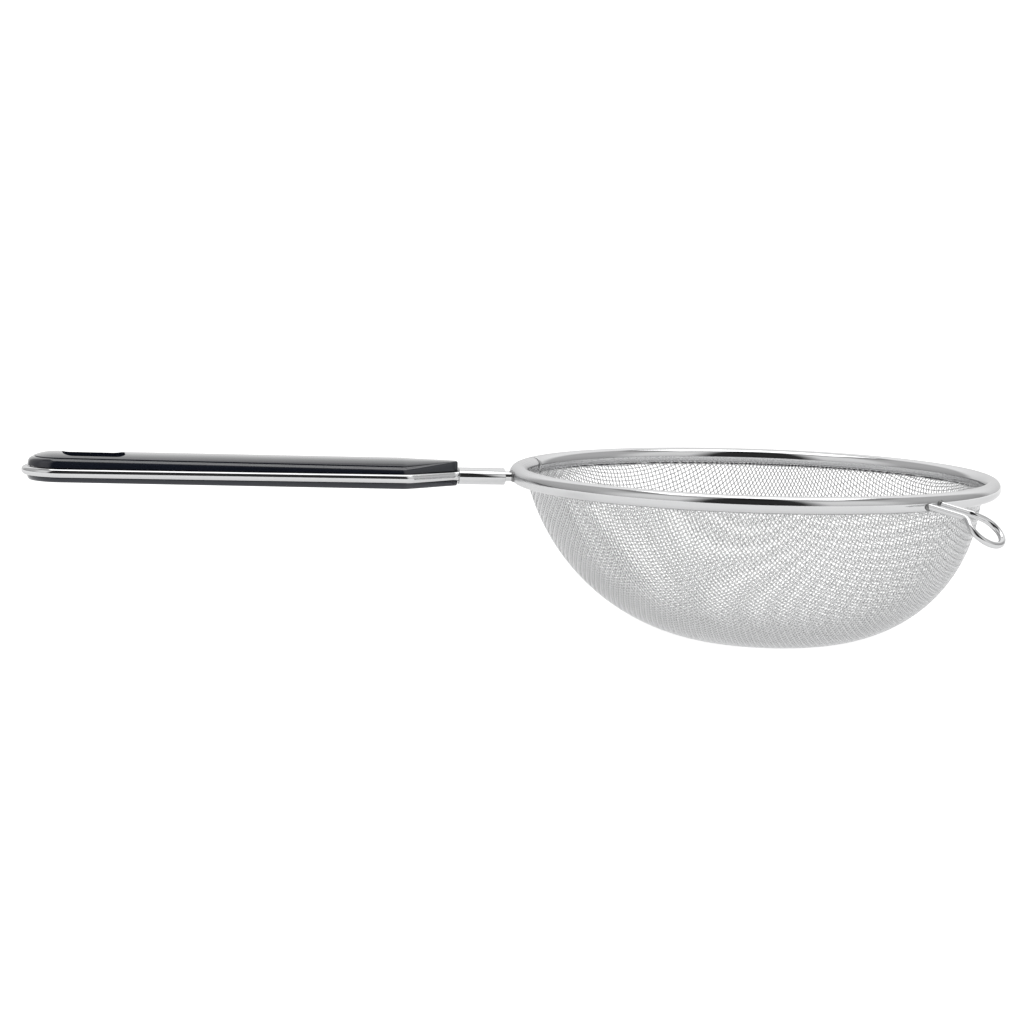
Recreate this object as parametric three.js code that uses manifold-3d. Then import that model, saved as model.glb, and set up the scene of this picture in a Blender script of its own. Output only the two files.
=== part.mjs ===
// Long-handled kitchen sieve. A rolled steel rim grips the edge of a bowl of wire mesh.
// A steel wire bent like a hairpin is welded to the rim, runs through a sleeve and round
// the handle, and two black plastic scales close on it. A wire rest is welded to the rim.
//
// Millimetres, +Z up. The handle points along -X. The origin is the middle of the small
// flat at the bottom of the bowl, on which the sieve is set down.

import * as THREE from 'three';
import { mergeVertices } from 'three/addons/utils/BufferGeometryUtils.js';
import Module from 'manifold-3d';

const wasm = await Module();
wasm.setup();

// Fits
const fit = 0.3; // gap between pieces that touch
const slitFit = 0.5; // gap on each side of the mesh where it enters the rim

// Rim: a strip rolled into a round bead, open along a slit for the mesh
const rimOuterRadius = 100;
const beadDiameter = 7.2;
const rimSheet = 0.6;
const rimHeight = 66.4; // middle of the bead above the bottom of the bowl
const seamAngle = 149; // degrees, where the two ends of the strip meet
const seamGap = 0.4;

// Bowl of wire mesh
const bowlLean = 7; // the deepest spot lies this far in front of the rim's middle
const footRadius = 14; // flat at the bottom
const wallDrop = 5.5; // the wall starts this far below the middle of the bead
const wallInset = 4.9; // and this far inside the middle of the bead
const wallSlope = 12; // degrees from upright at the top
const wallReach = 37; // how far the wall keeps that slope
const floorReach = 40; // how far the floor keeps level beyond the flat
const meshThickness = 0.9;
const meshPitch = 13; // bars of the mesh, drawn wider apart than the woven wires
const meshSmallestGap = 0.04; // gaps below this share of a square cell are closed
const meshSnap = 1 / 6; // a crossing this share of the pitch from the wall's top moves onto it
const meshBar = 1.9;
const meshTurn = 19.5; // degrees between the bars and the handle
const hemInset = 1; // end of the mesh inside the bead, from the middle of the bead
const hemDrop = 1.4;

// Handle wire
const wireDiameter = 4;
const wireHalfWidth = 13.5; // middle of the wire, along the grip
const wireHalfNeck = 2.6; // middle of the wire, in the sleeve
const handleReach = 195.8; // middle of the wire at the tip, from the outside of the rim
const neckLength = 23; // over which the wire spreads
const neckBend = 6; // radius of the wire's bends there

// Sleeve
const sleeveGap = 3.2; // from the outside of the rim
const sleeveLength = 18.8;
const sleeveWall = 1.1;
const sleeveEdge = 0.5;

// Scales, with heights from the wire's middle
const scaleInset = 0.2; // edge of the scales inside the middle of the wire
const scaleNeckHalfWidth = 3;
const scaleNeckRound = 1; // edge of the scales at the neck's end
const creaseSlope = 30; // degrees from level, where the side starts below the crease
const upperTop = 7.4;
const upperCrown = 2.45; // from the crease to the top
const upperRound = 1.7; // how far the crease lies inside the edge
const upperNeck = 6; // height at the neck's end
const lowerTop = 5.2;
const lowerCrown = 1.6;
const lowerRound = 1.2;
const lowerNeck = 3.9;
const slotInset = 14.2; // hanging slot, from the middle of the wire at the tip
const slotLength = 24.6;
const slotWidth = 17;
const slotCorner = 6;

// Rest: a wire loop on the outside of the rim
const restAngle = -54.2; // degrees from the front of the rim
const restYaw = 16.9; // degrees by which it points further to the front
const restTwist = 8; // degrees by which it is turned about its own length
const restWire = 2.8;
const restDrop = 0.8; // start of the legs below the middle of the bead
const restLegs = 6.6; // between the middles of the legs
const restLegLength = 13.6;
const restLegTilt = 11.5; // degrees below level
const restLoopTilt = 40;
const restBend = 7; // radius of the bend between legs and loop
const restLoopRadius = 7.9; // middle of the wire
const restLoopReach = 10.5; // from the end of the legs to the middle of the loop
const restFillet = 6;

// Facets
const ringFacets = 64;
const beadFacets = 10;
const wireFacets = 10;
const wireSteps = 104;
const restFacets = 8;
const restSteps = 46;
const tipFacets = 14;
const roundFacets = 3;
const crownFacets = 3;
const cornerFacets = 4;
const sleeveFacets = 5;

// Derived values
const rad = THREE.MathUtils.degToRad;
const beadRadius = beadDiameter / 2;
const beadMiddle = rimOuterRadius - beadRadius;
const rimX = -bowlLean;
const wireRadius = wireDiameter / 2;
const wireTip = rimOuterRadius + handleReach;
const sleeveStart = rimOuterRadius + sleeveGap;
const sleeveEnd = sleeveStart + sleeveLength;
const gripStart = sleeveEnd + neckLength;
const scaleHalfWidth = wireHalfWidth - scaleInset;
const scaleTipMiddle = wireTip - wireHalfWidth;
const scaleStart = sleeveEnd + fit;
const slotEnd = wireTip - slotInset;
const slotStart = slotEnd - slotLength;

const steel = new THREE.MeshStandardMaterial({ color: 0xd8dadc, metalness: 1, roughness: 0.16 });
const gauze = new THREE.MeshStandardMaterial({ color: 0xb9bcbf, metalness: 1, roughness: 0.3 });
const plastic = new THREE.MeshStandardMaterial({ color: 0x15171d, metalness: 0, roughness: 0.22 });

// A closed solid from a geometry, for joining and cutting
function solid(geometry) {
  const bare = new THREE.BufferGeometry();
  bare.setAttribute('position', geometry.getAttribute('position').clone());
  if (geometry.index) bare.setIndex(geometry.index.clone());
  const merged = mergeVertices(bare, 1e-4);
  const triVerts = new Uint32Array(merged.index.array);
  const vertProperties = new Float32Array(merged.attributes.position.array);
  return new wasm.Manifold(new wasm.Mesh({ numProp: 3, vertProperties, triVerts }));
}

// Back to a geometry
function geometryOf(body) {
  const { vertProperties, triVerts, numProp } = body.getMesh();
  const geometry = new THREE.BufferGeometry();
  const count = vertProperties.length / numProp;
  const position = new Float32Array(count * 3);
  for (let i = 0; i < count; i++) {
    for (let k = 0; k < 3; k++) position[i * 3 + k] = vertProperties[i * numProp + k];
  }
  geometry.setAttribute('position', new THREE.BufferAttribute(position, 3));
  geometry.setIndex(new THREE.BufferAttribute(new Uint32Array(triVerts), 1));
  return geometry;
}

function piece(name, geometry, material) {
  const bare = mergeVertices(geometry.deleteAttribute('normal').deleteAttribute('uv'), 1e-4);
  bare.computeVertexNormals();
  const mesh = new THREE.Mesh(bare, material);
  mesh.name = name;
  return mesh;
}

// A flat path of lines and arcs, set in space by a function of its two coordinates
class PlacedPath extends THREE.Curve {
  constructor(path, place) {
    super();
    this.path = path;
    this.place = place;
    this.arcLengthDivisions = 3200;
  }

  getPoint(t, target = new THREE.Vector3()) {
    const p = this.path.getPoint(t);
    return this.place(p.x, p.y, target);
  }
}

function roundBar(radius, sides, path, steps) {
  const section = new THREE.Shape();
  section.absarc(0, 0, radius, 0, Math.PI * 2);
  const options = { extrudePath: path, steps, curveSegments: sides / 2, bevelEnabled: false };
  return new THREE.ExtrudeGeometry(section, options);
}

// Sets a section drawn in (across, up) so that its extrusion runs along X
function alongX(geometry, start) {
  const basis = new THREE.Matrix4().makeBasis(
    new THREE.Vector3(0, 1, 0),
    new THREE.Vector3(0, 0, 1),
    new THREE.Vector3(1, 0, 0),
  );
  return geometry.applyMatrix4(basis).translate(start, 0, 0);
}

// Rim

// The wall of the mesh enters the bead along the line from the wall's top to the hem
const hem = new THREE.Vector2(beadMiddle - hemInset, rimHeight - hemDrop);
const wallTop = new THREE.Vector2(beadMiddle - wallInset, rimHeight - wallDrop);

function rimSection() {
  const middle = new THREE.Vector2(beadMiddle, rimHeight);
  const slit = hem.clone().add(wallTop).sub(middle).sub(middle).angle();
  const half = (meshThickness / 2 + slitFit) / (beadRadius - rimSheet);
  const points = [];
  const arc = (radius, from, to, steps) => {
    for (let i = 0; i <= steps; i++) {
      const angle = from + ((to - from) * i) / steps;
      const x = middle.x + radius * Math.cos(angle);
      points.push(new THREE.Vector2(x, middle.y + radius * Math.sin(angle)));
    }
  };
  arc(beadRadius, slit + half, slit - half + Math.PI * 2, beadFacets);
  arc(beadRadius - rimSheet, slit - half + Math.PI * 2, slit + half, beadFacets / 2);
  points.push(points[0].clone());
  return points;
}

function rim() {
  const ring = new THREE.LatheGeometry(rimSection(), ringFacets).rotateX(Math.PI / 2);
  const seam = new THREE.BoxGeometry(beadDiameter * 2, seamGap, beadDiameter * 2);
  seam.translate(beadMiddle, 0, rimHeight).rotateZ(rad(seamAngle));
  return geometryOf(solid(ring).subtract(solid(seam))).translate(rimX, 0, 0);
}

// Bowl

// Half of the bowl's outline from its middle to the top of its wall, middle of the mesh
function bowlOutline() {
  const floor = meshThickness / 2;
  const slope = rad(wallSlope);
  const outline = new THREE.Path();
  outline.moveTo(0, floor);
  outline.lineTo(footRadius, floor);
  outline.bezierCurveTo(
    footRadius + floorReach,
    floor,
    wallTop.x - wallReach * Math.sin(slope),
    wallTop.y - wallReach * Math.cos(slope),
    wallTop.x,
    wallTop.y,
  );
  return outline;
}

const outline = bowlOutline();
const outlineLength = outline.getLength();

// The bowl's surface over a disc: the centre is the foot, the unit circle the wall's top
function bowlPoint(a, b) {
  const m = Math.hypot(a, b);
  let p = outline.getPoint(Math.min(m, 1));
  if (m > 1) {
    const edgeStep = 0.01;
    const beyond = (m - 1) / edgeStep;
    p = p.clone().sub(outline.getPoint(1 - edgeStep)).multiplyScalar(beyond).add(p);
  }
  const share = m > 1e-9 ? p.x / m : outlineLength;
  const lean = (bowlLean * (wallTop.y - p.y)) / (wallTop.y - meshThickness / 2);
  return new THREE.Vector3(rimX + lean + share * a, share * b, p.y);
}

function bowlNormal(a, b) {
  const step = 1e-4;
  const k = Math.min(1, (1 - 2 * step) / Math.max(1e-9, Math.hypot(a, b)));
  const along = bowlPoint(a * k + step, b * k).sub(bowlPoint(a * k - step, b * k));
  const across = bowlPoint(a * k, b * k + step).sub(bowlPoint(a * k, b * k - step));
  return along.cross(across).normalize();
}

// Knots of a square net laid over the bowl, which shears but keeps its pitch, as mesh does
function netKnots() {
  const knots = new Map();
  const key = (i, j) => `${i},${j}`;
  const step = meshPitch / outlineLength;
  const reach = Math.ceil(1 / step) + 2;
  const limit = 1 + 2 * step;
  const warp = rad(meshTurn);
  for (let i = -reach; i <= reach; i++) {
    const m = i * step;
    if (Math.abs(m) > limit) continue;
    knots.set(key(i, 0), new THREE.Vector2(m * Math.cos(warp), m * Math.sin(warp)));
    knots.set(key(0, i), new THREE.Vector2(-m * Math.sin(warp), m * Math.cos(warp)));
  }
  const place = (i, j, si, sj) => {
    const first = knots.get(key(i - si, j));
    const second = knots.get(key(i, j - sj));
    const corner = knots.get(key(i - si, j - sj));
    if (!first || !second || !corner) return;
    const p = first.clone().add(second).sub(corner);
    const ends = [bowlPoint(first.x, first.y), bowlPoint(second.x, second.y)];
    const miss = (x, y) => ends.map((end) => bowlPoint(x, y).distanceTo(end) - meshPitch);
    for (let round = 0; round < 12; round++) {
      const h = 1e-5;
      const [f, g] = miss(p.x, p.y);
      const [fx, gx] = miss(p.x + h, p.y).map((v, k) => (v - [f, g][k]) / h);
      const [fy, gy] = miss(p.x, p.y + h).map((v, k) => (v - [f, g][k]) / h);
      const det = fx * gy - fy * gx;
      p.x -= (f * gy - g * fy) / det;
      p.y -= (g * fx - f * gx) / det;
    }
    if (p.length() < limit) knots.set(key(i, j), p);
  };
  for (const [si, sj] of [[1, 1], [-1, 1], [-1, -1], [1, -1]]) {
    for (let i = 1; i <= reach; i++) {
      for (let j = 1; j <= reach; j++) place(i * si, j * sj, si, sj);
    }
  }
  // A knot close to the wall's top moves onto it
  for (const p of knots.values()) {
    if (Math.abs(p.length() - 1) < step * meshSnap) p.setLength(1);
  }
  return { knots, key, reach };
}

// The part of a convex outline on the left of the line from p to q
function leftOf(points, p, q) {
  const side = (v) => (q.x - p.x) * (v.y - p.y) - (q.y - p.y) * (v.x - p.x);
  const kept = [];
  points.forEach((v, k) => {
    const next = points[(k + 1) % points.length];
    const here = side(v);
    const there = side(next);
    if (here >= 0) kept.push(v);
    if (here * there < 0) kept.push(v.clone().lerp(next, here / (here - there)));
  });
  return kept;
}

function meshBowl() {
  const { knots, key, reach } = netKnots();
  const spots = []; // places on the disc
  const named = new Map();
  const spot = (name, p) => {
    if (!named.has(name)) named.set(name, spots.push(p) - 1);
    return named.get(name);
  };
  const onTop = (index) => Math.abs(spots[index].length() - 1) < 1e-6;
  const faces = []; // triangles of spots, counter-clockwise from above
  const holes = []; // loops of spots, counter-clockwise
  const loops = []; // outlines of the cells

  const cell = (i, j) => {
    const names = [[i, j], [i + 1, j], [i + 1, j + 1], [i, j + 1]];
    const corners = names.map(([u, v]) => knots.get(key(u, v)));
    if (corners.some((p) => !p)) return;
    const uvs = names.map(([u, v]) => new THREE.Vector2(u - i, v - j));
    const loop = [];
    const flat = [];
    for (let k = 0; k < 4; k++) {
      const n = (k + 1) % 4;
      const p = corners[k];
      const q = corners[n];
      const inside = p.length() < 1 + 1e-7;
      if (inside) {
        loop.push(spot(names[k].join(), p));
        flat.push(uvs[k]);
      }
      const crosses = inside !== q.length() < 1 + 1e-7;
      const touches = Math.abs(p.length() - 1) < 1e-6 || Math.abs(q.length() - 1) < 1e-6;
      if (!crosses || touches) continue;
      let low = 0;
      let high = 1;
      for (let round = 0; round < 50; round++) {
        const t = (low + high) / 2;
        if (p.clone().lerp(q, t).length() < 1 === inside) low = t;
        else high = t;
      }
      const name = [names[k].join(), names[n].join()].sort().join('|');
      const point = p.clone().lerp(q, low).setLength(1);
      loop.push(spot(name, point));
      flat.push(uvs[k].clone().lerp(uvs[n], low));
    }
    if (loop.length < 3) return;
    loops.push(loop);

    // The gap keeps half a bar off each side, and a whole one off the rim
    let gap = flat;
    flat.forEach((p, k) => {
      const q = flat[(k + 1) % flat.length];
      const atRim = onTop(loop[k]) && onTop(loop[(k + 1) % loop.length]);
      const inset = (atRim ? meshBar : meshBar / 2) / meshPitch;
      const shift = new THREE.Vector2(p.y - q.y, q.x - p.x).setLength(inset);
      gap = leftOf(gap, p.clone().add(shift), q.clone().add(shift));
    });
    const open = gap.length > 2 && THREE.ShapeUtils.area(gap) > meshSmallestGap;
    const rounds = open ? [gap] : [];
    const all = open ? [...flat, ...gap] : flat;
    const place = (uv) => {
      const low = corners[0].clone().lerp(corners[1], uv.x);
      return low.lerp(corners[3].clone().lerp(corners[2], uv.x), uv.y);
    };
    const inner = open ? gap.map((uv) => spots.push(place(uv)) - 1) : [];
    if (open) holes.push(inner);
    const ids = [...loop, ...inner];
    for (const [x, y, z] of THREE.ShapeUtils.triangulateShape(flat.slice(), rounds)) {
      const turned = THREE.ShapeUtils.area([all[x], all[y], all[z]]) < 0;
      faces.push(turned ? [ids[x], ids[z], ids[y]] : [ids[x], ids[y], ids[z]]);
    }
  };
  for (let i = -reach; i < reach; i++) {
    for (let j = -reach; j < reach; j++) cell(i, j);
  }

  // Each spot gives a point inside the bowl and one outside; the border also gives a hem
  const position = [];
  const half = meshThickness / 2;
  for (const p of spots) {
    const middle = bowlPoint(p.x, p.y);
    const normal = bowlNormal(p.x, p.y);
    position.push(...middle.clone().addScaledVector(normal, half).toArray());
    position.push(...middle.clone().addScaledVector(normal, -half).toArray());
  }
  const hemLine = hem.clone().sub(wallTop).normalize();
  const hemPoint = (p, side) => {
    const r = hem.x - hemLine.y * side * half;
    return [rimX + r * p.x, r * p.y, hem.y + hemLine.x * side * half];
  };
  const hemAt = new Map();
  const hemIndex = (index) => {
    if (!hemAt.has(index)) {
      hemAt.set(index, position.length / 3);
      position.push(...hemPoint(spots[index], 1), ...hemPoint(spots[index], -1));
    }
    return hemAt.get(index);
  };

  const index = [];
  const quad = (a, b, c, d) => index.push(a, b, c, a, c, d);
  for (const [a, b, c] of faces) {
    index.push(2 * a, 2 * b, 2 * c);
    index.push(2 * a + 1, 2 * c + 1, 2 * b + 1);
  }
  for (const loop of holes) {
    loop.forEach((p, k) => {
      const q = loop[(k + 1) % loop.length];
      quad(2 * p, 2 * q, 2 * q + 1, 2 * p + 1);
    });
  }
  const edges = new Set();
  for (const loop of loops) loop.forEach((p, k) => edges.add(`${p},${loop[(k + 1) % loop.length]}`));
  for (const loop of loops) {
    loop.forEach((p, k) => {
      const q = loop[(k + 1) % loop.length];
      if (edges.has(`${q},${p}`)) return;
      const hp = hemIndex(p);
      const hq = hemIndex(q);
      quad(2 * p, hp, hq, 2 * q);
      quad(2 * p + 1, 2 * q + 1, hq + 1, hp + 1);
      quad(hp + 1, hq + 1, hq, hp);
    });
  }
  const geometry = new THREE.BufferGeometry();
  geometry.setAttribute('position', new THREE.Float32BufferAttribute(position, 3));
  geometry.setIndex(index);
  return geometry;
}

// Handle, drawn with the rim's middle at the origin and the tip along +X

// The wire spreads from the neck to the grip in a straight line between two equal bends
function wirePath() {
  const rise = wireHalfWidth - wireHalfNeck - 2 * neckBend;
  const apart = Math.hypot(neckLength, rise);
  const turn = Math.atan2(rise, neckLength) + Math.asin((2 * neckBend) / apart);
  const quarter = Math.PI / 2;
  const inner = wireHalfNeck + neckBend;
  const outer = wireHalfWidth - neckBend;
  const path = new THREE.Path();
  path.moveTo(rimOuterRadius + fit, wireHalfNeck);
  path.absarc(sleeveEnd, inner, neckBend, -quarter, turn - quarter, false);
  path.absarc(gripStart, outer, neckBend, quarter + turn, quarter, true);
  path.absarc(wireTip - wireHalfWidth, 0, wireHalfWidth, quarter, -quarter, true);
  path.absarc(gripStart, -outer, neckBend, -quarter, -quarter - turn, true);
  path.absarc(sleeveEnd, -inner, neckBend, quarter - turn, quarter, false);
  path.lineTo(rimOuterRadius + fit, -wireHalfNeck);
  return new PlacedPath(path, (x, y, target) => target.set(x, y, 0));
}

// The wire, and at a larger radius its channel in the scales, in the same facets
function handleBar(radius) {
  return roundBar(radius, wireFacets, wirePath(), wireSteps);
}

function roundedSlot() {
  const corner = Math.min(slotCorner, slotWidth / 2, slotLength / 2);
  const half = slotWidth / 2;
  const shape = new THREE.Shape();
  shape.absarc(slotEnd - corner, half - corner, corner, 0, Math.PI / 2);
  shape.absarc(slotStart + corner, half - corner, corner, Math.PI / 2, Math.PI);
  shape.absarc(slotStart + corner, corner - half, corner, Math.PI, Math.PI * 1.5);
  shape.absarc(slotEnd - corner, corner - half, corner, Math.PI * 1.5, Math.PI * 2);
  return shape;
}

// A scale's outline this far inside its edge, at its heights at the grip and at the neck
function scaleRing(inset, endInset, gripHeight, neckHeight) {
  const slope = (scaleHalfWidth - scaleNeckHalfWidth) / (gripStart - scaleStart);
  const lost = inset * Math.hypot(1, slope);
  const width = scaleHalfWidth - inset;
  const start = scaleStart + Math.max(endInset, (lost - scaleNeckHalfWidth) / slope);
  const neckWidth = scaleNeckHalfWidth - lost + slope * (start - scaleStart);
  const corner = scaleStart + (width + lost - scaleNeckHalfWidth) / slope;
  const points = [];
  for (const side of [-1, 1]) {
    points.push([start, side * neckWidth, neckHeight]);
    points.push([corner, side * width, gripHeight]);
  }
  for (let i = 0; i <= tipFacets; i++) {
    const angle = Math.PI * (i / tipFacets - 0.5);
    const x = scaleTipMiddle + width * Math.cos(angle);
    points.push([x, width * Math.sin(angle), gripHeight]);
  }
  return points;
}

// A scale: a pillow with a crowned face, a crease and rounded sides, with the wire's channel
// and the slot cut out. Drawn face up, and then turned about the handle's length.
function scale(top, crown, round, neck, turn) {
  const points = scaleRing(0, 0, fit / 2, fit / 2);
  const first = Math.sin(rad(creaseSlope));
  for (let i = 0; i <= roundFacets; i++) {
    const angle = rad(creaseSlope + ((90 - creaseSlope) * i) / roundFacets);
    const inset = (round * (1 - Math.sin(angle))) / (1 - first);
    const endInset = (scaleNeckRound * (1 - Math.sin(angle))) / (1 - first);
    const share = Math.cos(angle) / Math.cos(rad(creaseSlope));
    const gripHeight = wireRadius + share * (top - crown - wireRadius);
    points.push(...scaleRing(inset, endInset, gripHeight, wireRadius + share * (neck - wireRadius)));
  }
  for (let i = 0; i < crownFacets; i++) {
    const share = i / crownFacets;
    const inset = scaleHalfWidth - share * (scaleHalfWidth - round);
    const height = top - crown * share * share;
    points.push(...scaleRing(inset, neckLength, height, height));
  }
  const body = wasm.Manifold.hull(points);
  const channel = handleBar(wireRadius + fit).rotateX(-turn);
  const slot = new THREE.ExtrudeGeometry(roundedSlot(), {
    depth: top * 4,
    bevelEnabled: false,
    curveSegments: cornerFacets,
  });
  slot.translate(0, 0, -top * 2);
  return geometryOf(body.subtract(solid(channel)).subtract(solid(slot))).rotateX(turn);
}

function stadium(shape, halfWidth, radius) {
  const run = halfWidth - radius;
  shape.absarc(run, 0, radius, -Math.PI / 2, Math.PI / 2);
  shape.absarc(-run, 0, radius, Math.PI / 2, Math.PI * 1.5);
  return shape;
}

function sleeve() {
  const bore = wireRadius + fit;
  const outer = bore + sleeveWall;
  const section = stadium(new THREE.Shape(), wireHalfNeck + outer, outer);
  section.holes.push(stadium(new THREE.Path(), wireHalfNeck + bore, bore));
  const tube = new THREE.ExtrudeGeometry(section, {
    depth: sleeveLength - 2 * sleeveEdge,
    curveSegments: sleeveFacets,
    bevelThickness: sleeveEdge,
    bevelSize: sleeveEdge,
    bevelOffset: -sleeveEdge,
    bevelSegments: 1,
  });
  return alongX(tube, sleeveStart + sleeveEdge);
}

// Rest, drawn with the middle of its weld at the origin and the loop along +X

// Seen from above its own bent sheet: two legs that open into a round loop. The legs start
// inside the bead, where the rim cuts them off.
function restOutline() {
  const half = restLegs / 2;
  const reach = restLegLength + restLoopReach;
  const lift = half + restFillet;
  const apart = Math.hypot(restLoopReach, lift);
  const slant = Math.asin((restFillet + restLoopRadius) / apart) - Math.atan2(lift, restLoopReach);
  const path = new THREE.Path();
  path.moveTo(-beadRadius, half);
  path.lineTo(restLegLength, half);
  path.absarc(restLegLength, lift, restFillet, -Math.PI / 2, -Math.PI / 2 + slant, false);
  path.absarc(reach, 0, restLoopRadius, Math.PI / 2 + slant, -Math.PI / 2 - slant, true);
  path.absarc(restLegLength, -lift, restFillet, Math.PI / 2 - slant, Math.PI / 2, false);
  path.lineTo(-beadRadius, -half);
  return path;
}

// Seen from the side: out from the rim at one tilt, then down at a steeper one
function restSide() {
  const first = rad(restLegTilt);
  const second = rad(restLoopTilt);
  const startX = -beadRadius * Math.cos(first);
  const startZ = beadRadius * Math.sin(first);
  const bendX = restLegLength * Math.cos(first);
  const bendZ = -restLegLength * Math.sin(first);
  const middleX = bendX - restBend * Math.sin(first);
  const middleZ = bendZ - restBend * Math.cos(first);
  const run = restLoopReach + restLoopRadius;
  const side = new THREE.Path();
  side.moveTo(startX, startZ);
  side.lineTo(bendX, bendZ);
  side.absarc(middleX, middleZ, restBend, Math.PI / 2 - first, Math.PI / 2 - second, true);
  const end = side.currentPoint.clone();
  side.lineTo(end.x + run * Math.cos(second), end.y - run * Math.sin(second));
  return side;
}

function rest() {
  const side = restSide();
  const length = side.getLength();
  const path = new PlacedPath(restOutline(), (x, y, target) => {
    const p = side.getPoint((x + beadRadius) / length);
    return target.set(p.x, y, p.y);
  });
  const wire = roundBar(restWire / 2, restFacets, path, restSteps);
  wire.rotateX(rad(restTwist)).rotateZ(rad(restYaw));
  const out = Math.sqrt(beadRadius * beadRadius - restDrop * restDrop) + beadMiddle;
  wire.translate(out, 0, -restDrop);
  const bead = new THREE.TorusGeometry(beadMiddle, beadRadius + fit, beadFacets * 2, ringFacets * 2);
  return geometryOf(solid(wire).subtract(solid(bead)));
}

const sieve = new THREE.Group();
sieve.add(piece('rim', rim(), steel));
sieve.add(piece('mesh_bowl', meshBowl(), gauze));

const handle = new THREE.Group();
handle.position.set(rimX, 0, rimHeight);
handle.rotation.z = Math.PI;
handle.add(piece('handle_wire', handleBar(wireRadius), steel));
handle.add(piece('sleeve', sleeve(), steel));
handle.add(piece('upper_scale', scale(upperTop, upperCrown, upperRound, upperNeck, 0), plastic));
const lower = scale(lowerTop, lowerCrown, lowerRound, lowerNeck, Math.PI);
handle.add(piece('lower_scale', lower, plastic));
sieve.add(handle);

const restPlace = new THREE.Group();
restPlace.position.set(rimX, 0, rimHeight);
restPlace.rotation.z = rad(restAngle);
restPlace.add(piece('rest_loop', rest(), steel));
sieve.add(restPlace);

export default sieve;
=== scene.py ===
"""Looks of a long-handled kitchen sieve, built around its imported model.

A bowl of woven wire hangs in a rolled steel rim. A wire bent like a hairpin is welded to
the rim, passes through a sleeve and runs round two black plastic scales. A wire rest is
welded to the rim opposite. Metres, +Z up, the handle along -X.
"""

import math
from collections import namedtuple

import bmesh
import bpy
import numpy as np
from bmesh.types import BMEdge, BMVert
from mathutils import Matrix, Vector
from mathutils.geometry import interpolate_bezier


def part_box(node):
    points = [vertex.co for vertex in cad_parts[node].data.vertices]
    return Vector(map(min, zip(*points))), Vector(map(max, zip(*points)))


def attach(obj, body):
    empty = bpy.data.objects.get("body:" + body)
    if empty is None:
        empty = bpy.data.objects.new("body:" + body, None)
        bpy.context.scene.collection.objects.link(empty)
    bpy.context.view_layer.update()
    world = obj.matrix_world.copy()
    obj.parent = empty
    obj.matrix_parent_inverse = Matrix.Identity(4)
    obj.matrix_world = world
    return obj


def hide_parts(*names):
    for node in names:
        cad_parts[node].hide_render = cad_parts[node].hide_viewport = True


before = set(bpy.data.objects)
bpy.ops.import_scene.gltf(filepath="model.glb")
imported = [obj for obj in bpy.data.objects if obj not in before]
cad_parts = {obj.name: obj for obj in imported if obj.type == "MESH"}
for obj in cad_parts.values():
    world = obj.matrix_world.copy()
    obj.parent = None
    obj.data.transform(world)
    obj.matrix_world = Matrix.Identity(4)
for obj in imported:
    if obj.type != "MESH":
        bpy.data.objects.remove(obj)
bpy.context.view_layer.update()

MM = 0.001
QUARTER = math.pi / 2

# Meshes
MERGE = 1e-7  # points nearer than this become one
CUT_MERGE = 0.004 * MM  # the same, where a mesh has been cut
REPEAT = 0.01 * MM  # points of an outline nearer than this are one point
TOUCH = 1e-6  # how near a point is to a plane that it lies on
SHARP = math.radians(35)  # edges bent more than this stay sharp
CUT_SHARP = math.radians(30)  # the same, where a mesh has been cut
BEVEL_FROM = math.radians(50)  # edges bent more than this are bevelled

# Rim
rim_low, rim_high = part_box("rim")
RIM_MIDDLE = (rim_low + rim_high) / 2
RIM_RADIUS = 100 * MM
RIM_STEPS = 240
BEAD_RADIUS = 3.6 * MM
BEAD_MIDDLE = RIM_RADIUS - BEAD_RADIUS
BEAD_STEPS = 44
BEAD_SHEET = 0.6 * MM
BEAD_EDGE = 0.12 * MM
BEAD_EDGE_STEPS = 2
SEAM_ANGLE = math.radians(152.5)
SEAM_GAP = 0.8 * MM
SLIT_HALF = 0.5 * MM  # half the slit that grips the bowl's edge
GROUND_REACH = 48 * MM  # from the handle's weld, over which the rim was ground dull
GROUND_ROUGHNESS = 0.32

# Bowl: a flat foot, a curve from floor to wall, and a hem that goes into the rim
BOWL_LEAN = 7 * MM
FOOT_RADIUS = 14 * MM
WALL_DROP = 5.5 * MM
WALL_INSET = 4.9 * MM
WALL_SLOPE = math.radians(12)
WALL_REACH = 37 * MM
FLOOR_REACH = 40 * MM
HEM_INSET = 1.0 * MM
HEM_DROP = 1.4 * MM
OUTLINE_STEPS = 600
NORMAL_STEP = 0.2 * MM

# Weave
PITCH = 1.7 * MM
STRAND = 0.44 * MM
STRAND_RESOLUTION = 1
STRAND_BANDS = 3
WEAVE_TURN = math.radians(28)
CRIMP = 0.25  # share of the pitch over which a strand lies flat across another, each side
LIFT = 0.4  # rise of a strand's middle over another, in strands; they dent where they cross
WANDER = 0.025  # how far a strand strays from its place, in pitches
WANDER_LIMIT = 2 * WANDER
FEWEST_POINTS = 3  # a strand with fewer is left out
NET_MARGIN = 3 * PITCH  # of net beyond the hem
NET_SPARE = 6  # knots beyond that
NET_NUDGE = 0.001 * MM
NET_ROUNDS = 8  # in which a knot settles on its place
LINE_STEPS = 4000
BEYOND_HEM = 20 * PITCH  # by which the outline goes on, so that the net has a surface there

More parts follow.
